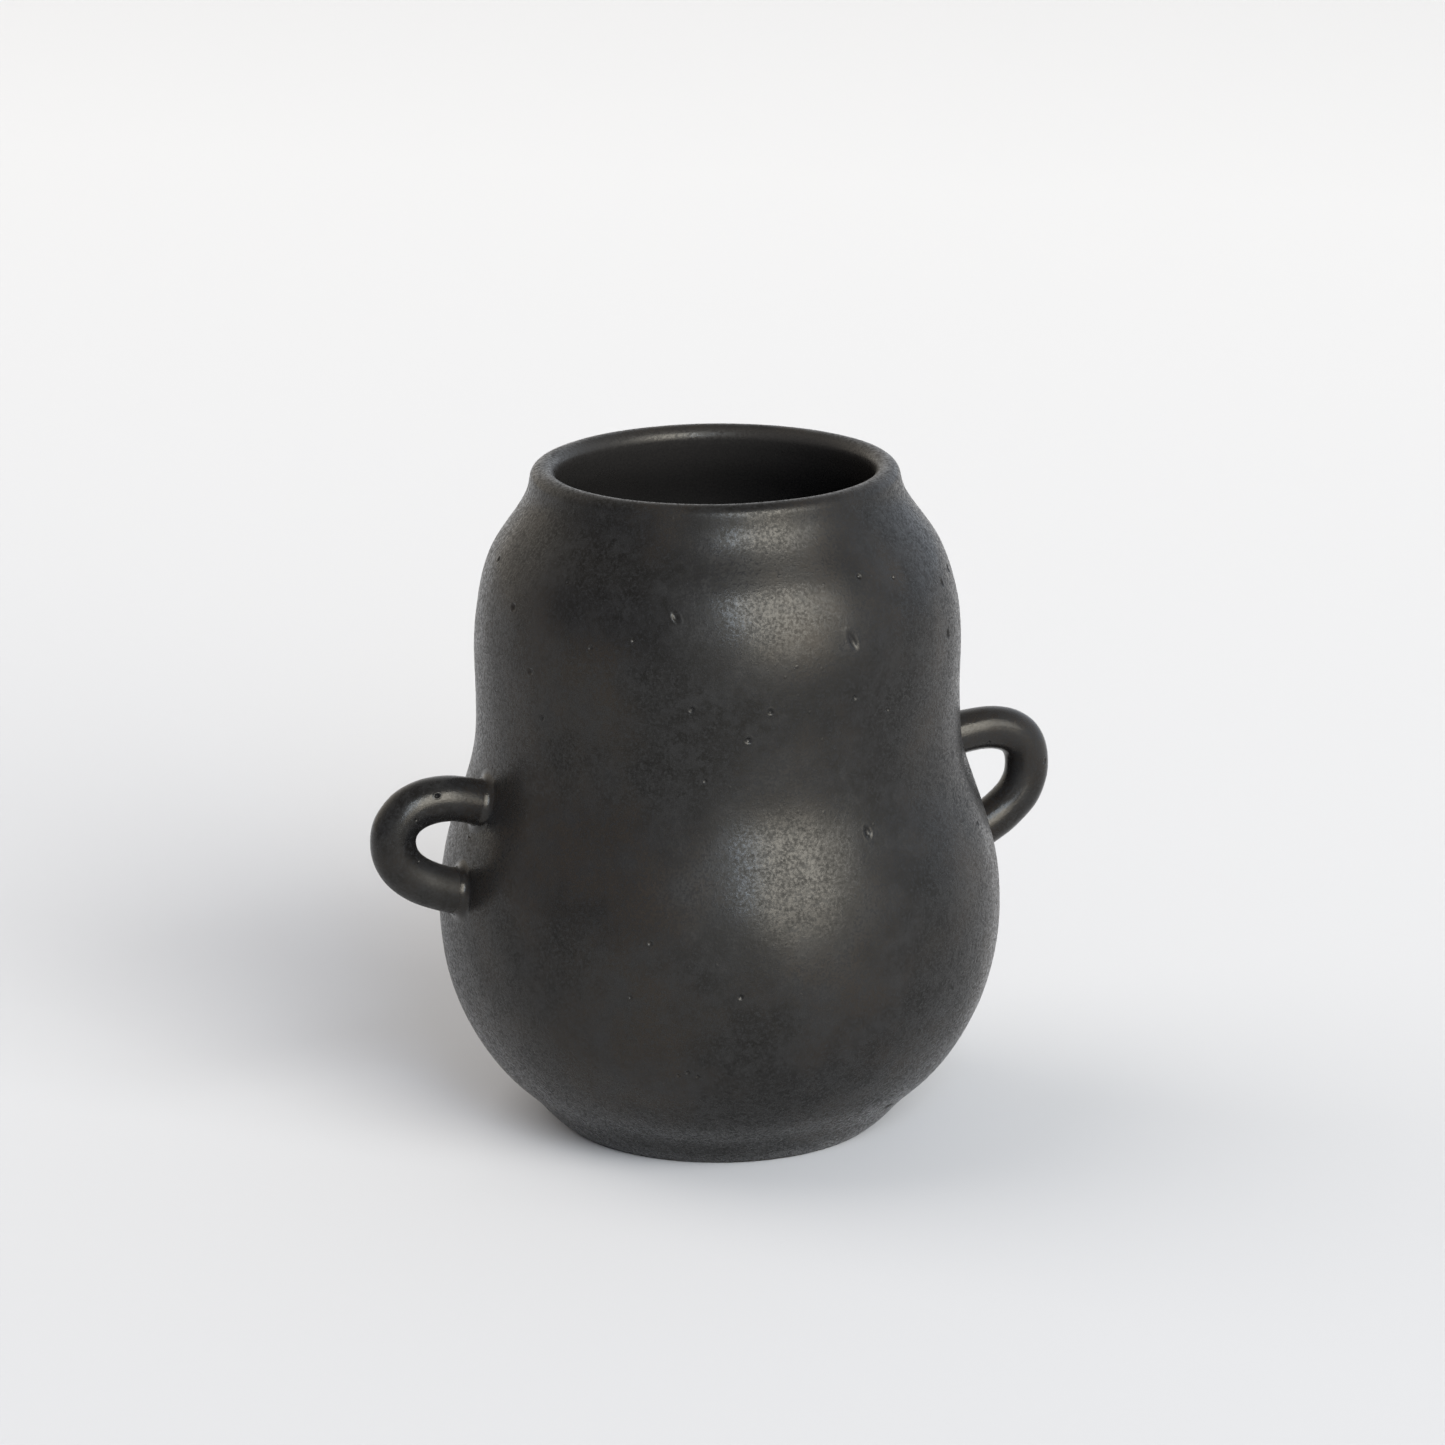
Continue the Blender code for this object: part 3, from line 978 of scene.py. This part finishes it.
def glaze_material(name, smooth, rough, dull_below=None, inside=0.0):
    """Satin black glaze: a dark mottled colour, a fine grain that breaks up its shine, and bare
    clay on the foot's underside. Below the height given, it is duller. The inside share is how far
    it turns to a paler tone painted on faces towards the axis: painted light that lifts the dim
    inside of the pot."""
    material, tree = new_material(name)
    place = node(tree, "ShaderNodeTexCoord").outputs["Object"]
    height = node(tree, "ShaderNodeSeparateXYZ", {0: place}).outputs[2]
    noises = {kind: noise(tree, place, *shape) for kind, shape in GLAZE_NOISES.items()}
    # The inside's paler tone is painted light, lifting the dim inside of the pot.
    painted_inside_light = painted_inside_light_share(tree, place, inside)
    glaze = mixed(tree, painted_inside_light, glaze_colour(tree, noises), INSIDE_PAINTED_LIGHT)
    wander = ramp(tree, noises["wander"], BARE_WANDER_IN, BARE_WANDER)
    bare = ramp(tree, added(tree, height, wander), BARE_HEIGHTS, (1, 0))
    by_grain = ramp(tree, noises["grain"], SHINE_IN_GRAIN, (rough, smooth))
    by_blotch = ramp(tree, noises["blotch"], SHINE_IN_BLOTCH, BLOTCH_ROUGHNESS)
    roughness = added(tree, by_grain, by_blotch)
    if dull_below is not None:
        span = (dull_below - DULL_EDGE, dull_below + DULL_EDGE)
        roughness = added(tree, roughness, ramp(tree, height, span, (DULLING, 0)))
    heights = {**noises, "beads": bead_height(tree, place)}
    relief = None
    for layer, rise in GLAZE_RELIEF:
        relief = bump(tree, heights[layer], rise, relief)
    either = node(tree, "ShaderNodeMix", {0: bare, 2: roughness, 3: BARE_ROUGHNESS})
    inputs = {
        "Base Color": mixed(tree, bare, glaze, BARE_CLAY),
        "Roughness": either.outputs[0],
        "IOR": GLAZE_IOR,
        "Specular Tint": GLAZE_TINT,
        "Normal": relief,
    }
    surface = node(tree, "ShaderNodeBsdfPrincipled", inputs)
    node(tree, "ShaderNodeOutputMaterial", {"Surface": surface.outputs[0]})
    return material


# The floor's two tones, the nearer one deeper as painted shade where the light falls off towards
# the front, and the distances from the pot, along the way given in degrees from the camera, between
# which the first turns into the second.
FLOOR_NEAR_PAINTED_SHADE = (0.488, 0.494, 0.510, 1)
FLOOR_FAR = (0.618, 0.620, 0.626, 1)
FLOOR_WAY = (165, 0)
FLOOR_TURN = (-0.35, 1.2)
FLOOR_ROUGHNESS = 0.9


def floor_material():
    """Plain pale paper, with painted shade deepening its tone towards the front."""
    material, tree = new_material("pale_floor")
    place = node(tree, "ShaderNodeTexCoord").outputs["Object"]
    share = share_towards(tree, place, FLOOR_WAY, FLOOR_TURN)
    # Painted shade: the floor darkens towards the front, where the light falls off.
    colour = mixed(tree, share, FLOOR_NEAR_PAINTED_SHADE, FLOOR_FAR)
    inputs = {"Base Color": colour, "Roughness": FLOOR_ROUGHNESS}
    surface = node(tree, "ShaderNodeBsdfPrincipled", inputs)
    node(tree, "ShaderNodeOutputMaterial", {"Surface": surface.outputs[0]})
    return material


# ---------------------------------------------------------------- stage

FLOOR_RADIUS = 11.0
FLOOR_SIDES = 96
FLOOR_DROP = 0.05 * MM

# The camera: its distance from the pot's axis and its height in metres, its pitch up from looking
# straight down, its roll, its lens and sensor in mm, and its shift in widths of the picture.
CAMERA_REACH = 1.488
CAMERA_HEIGHT = 0.534
CAMERA_PITCH = math.radians(73.85)
CAMERA_ROLL = math.radians(-0.38)
LENS = 153.0
SENSOR = 36.0
SHIFT = 0.0034

# The panes of the window: azimuths and elevations in degrees, radiance, colour.
WINDOW_PANES = (
    ((5.0, 17.0), (14.0, 47.0), 9.8, (0.80, 0.95, 1.18)),
    ((17.0, 48.0), (13.0, 47.0), 11.2, (1.0, 0.99, 0.95)),
    ((48.0, 64.0), (13.0, 47.0), 5.4, (1.0, 1.0, 0.98)),
    ((19.0, 48.0), (0.5, 13.0), 5.0, (1.0, 0.96, 0.88)),
)
WINDOW_REACH = 12.0
FILL_WAY = (-100.0, 55.0)
FILL_REACH = 6.0
FILL_WIDTH = 5.0
FILL_RADIANCE = 2.4
FILL_COLOUR = (1.0, 0.95, 0.90)

# The colours of the room, and where each part of it is: the azimuth and elevation of its middle in
# degrees, and the cosines of the angles from there at which it begins and is full.
WORLD_LEFT = (1.00, 0.93, 0.83, 1)
WORLD_RIGHT = (0.90, 0.98, 1.10, 1)
WORLD_ROOM = (0.56, 0.55, 0.57, 1)
WORLD_GLOW = (1.05, 1.03, 1.00, 1)
WORLD_CORNER = (0.34, 0.33, 0.35, 1)
WORLD_CEILING = (0.30, 0.28, 0.25, 1)
RIGHT_PLACE = ((90, 0), (-0.6, 0.6))
GLOW_PLACE = ((25, 0), (0.35, 0.85))
ROOM_PLACE = ((0, 20), (-0.1, 0.75))
CORNER_PLACE = ((-58, 15), (0.5, 0.95))
CEILING_RISE = (0.50, 0.85)


def add_floor():
    """A wide flat floor, a hair below the pot's foot."""
    mesh = bpy.data.meshes.new("floor")
    turns = np.linspace(0, 2 * np.pi, FLOOR_SIDES, endpoint=False)
    rim = [(FLOOR_RADIUS * math.cos(t), FLOOR_RADIUS * math.sin(t), -FLOOR_DROP) for t in turns]
    mesh.from_pydata(rim, [], [range(len(rim))])
    mesh.materials.append(floor_material())
    floor = bpy.data.objects.new("floor", mesh)
    bpy.context.scene.collection.objects.link(floor)


def area_light(name, width, height, radiance, colour):
    """A soft flat light that the camera doesn't see."""
    light = bpy.data.lights.new(name, "AREA")
    light.shape = "RECTANGLE"
    light.size, light.size_y = width, height
    light.energy = radiance * math.pi * width * height
    light.color = colour
    lamp = bpy.data.objects.new(name, light)
    lamp.visible_camera = False
    bpy.context.scene.collection.objects.link(lamp)
    return lamp


def add_window():
    """A broad window to the right of the camera, brightest in its middle."""
    for i, (azimuths, elevations, radiance, colour) in enumerate(WINDOW_PANES):
        azimuth, elevation = sum(azimuths) / 2, sum(elevations) / 2
        flat_reach = WINDOW_REACH * math.cos(math.radians(elevation))
        width = 2 * flat_reach * math.tan(math.radians(azimuths[1] - azimuth))
        height = 2 * WINDOW_REACH * math.tan(math.radians(elevations[1] - elevation))
        pane = area_light("window_%d" % i, width, height, radiance, colour)
        pane.location = WINDOW_REACH * towards(azimuth, elevation)
        turn = CAMERA_AZIMUTH + math.radians(azimuth)
        pane.rotation_euler = (math.radians(90 - elevation), 0, turn)


def add_fill():
    """A weak warm light from the upper left that softens the window's shadow, and isn't seen in
    the glaze."""
    fill = area_light("fill", FILL_WIDTH, FILL_WIDTH, FILL_RADIANCE, FILL_COLOUR)
    way = towards(*FILL_WAY)
    fill.location = FILL_REACH * way
    fill.rotation_euler = Vector(way).to_track_quat("Z", "Y").to_euler()
    fill.visible_glossy = False


def add_world():
    """Pale surroundings: bright behind the pot and around the window, dimmer on the camera's
    side, and darkest in a corner to its left and overhead."""
    world = bpy.data.worlds.new("surroundings")
    world.use_nodes = True
    tree = world.node_tree
    tree.nodes.clear()
    way = node(tree, "ShaderNodeTexCoord").outputs["Generated"]
    rise = node(tree, "ShaderNodeSeparateXYZ", {0: way}).outputs[2]
    behind = mixed(tree, share_towards(tree, way, *RIGHT_PLACE), WORLD_LEFT, WORLD_RIGHT)
    room = mixed(tree, share_towards(tree, way, *GLOW_PLACE), WORLD_ROOM, WORLD_GLOW)
    around = mixed(tree, share_towards(tree, way, *ROOM_PLACE), behind, room)
    walls = mixed(tree, share_towards(tree, way, *CORNER_PLACE), around, WORLD_CORNER)
    colour = mixed(tree, ramp(tree, rise, CEILING_RISE), walls, WORLD_CEILING)
    light = node(tree, "ShaderNodeBackground", {"Color": colour, "Strength": 1.0})
    node(tree, "ShaderNodeOutputWorld", {"Surface": light.outputs[0]})
    bpy.context.scene.world = world


def add_camera():
    """The camera, in front of the pot and a little towards its left handle."""
    lens = bpy.data.cameras.new("camera")
    lens.lens, lens.sensor_width, lens.shift_x = LENS, SENSOR, SHIFT
    camera = bpy.data.objects.new("camera", lens)
    turn = Euler((CAMERA_PITCH, 0, CAMERA_AZIMUTH)).to_matrix().to_4x4()
    place = CAMERA_REACH * towards(0, 0)
    place[2] = CAMERA_HEIGHT
    camera.matrix_world = Matrix.Translation(place) @ turn @ Matrix.Rotation(CAMERA_ROLL, 4, "Z")
    bpy.context.scene.collection.objects.link(camera)
    bpy.context.scene.camera = camera


# ---------------------------------------------------------------- the pot


def add_walls():
    """The foot slab, the two bulbs and the rim coil, parted at seams across the wall."""
    # The body's glaze carries the full painted light on its inward faces.
    glaze = glaze_material("black_glaze", smooth=0.19, rough=0.48, inside=1.0)
    outer_heights = (FOOT_SEAM, WAIST_SEAM, COLLAR_SEAM)
    inner_heights = (FLOOR + SLAB_RISE, UPPER_BOX[0].z, RIM_BOX[0].z)
    outer = [float(PROFILE.place_of("outside", z)) for z in outer_heights]
    inner = [float(PROFILE.place_of("inside", z)) for z in inner_heights]
    foot = ((0.0, inner[0]), (outer[0], PROFILE.length))
    lower = ((inner[0], inner[1]), (outer[1], outer[0]))
    upper = ((inner[1], inner[2]), (outer[2], outer[1]))
    wall_piece("foot_slab", foot, glaze)
    wall_piece("lower_bulb", lower, glaze)
    wall_piece("upper_bulb", upper, glaze)
    wall_piece("rim_coil", ((inner[2], outer[2]),), glaze)


def add_handles():
    """The two handles, and the luting around each of their ends."""
    handle_glazes = {
        "left": glaze_material("left_handle_glaze", 0.16, 0.30, dull_below=DULL_HANDLE_HEIGHT),
        "right": glaze_material("right_handle_glaze", 0.15, 0.28),
    }
    luting_glaze = glaze_material("luting_glaze", 0.12, 0.26)
    for side, turned in (("left", 0.0), ("right", LUTING_SIDE_TURN)):
        coil = Coil(side + "_handle")
        coil_piece(side + "_handle", coil, handle_glazes[side])
        luting_piece(side + "_upper_luting", coil, False, turned, luting_glaze)
        luting_piece(side + "_lower_luting", coil, True, turned + LUTING_FOOT_TURN, luting_glaze)


add_camera()
add_walls()
add_handles()
add_floor()
add_window()
add_fill()
add_world()
bpy.context.scene.view_settings.view_transform = "Standard"
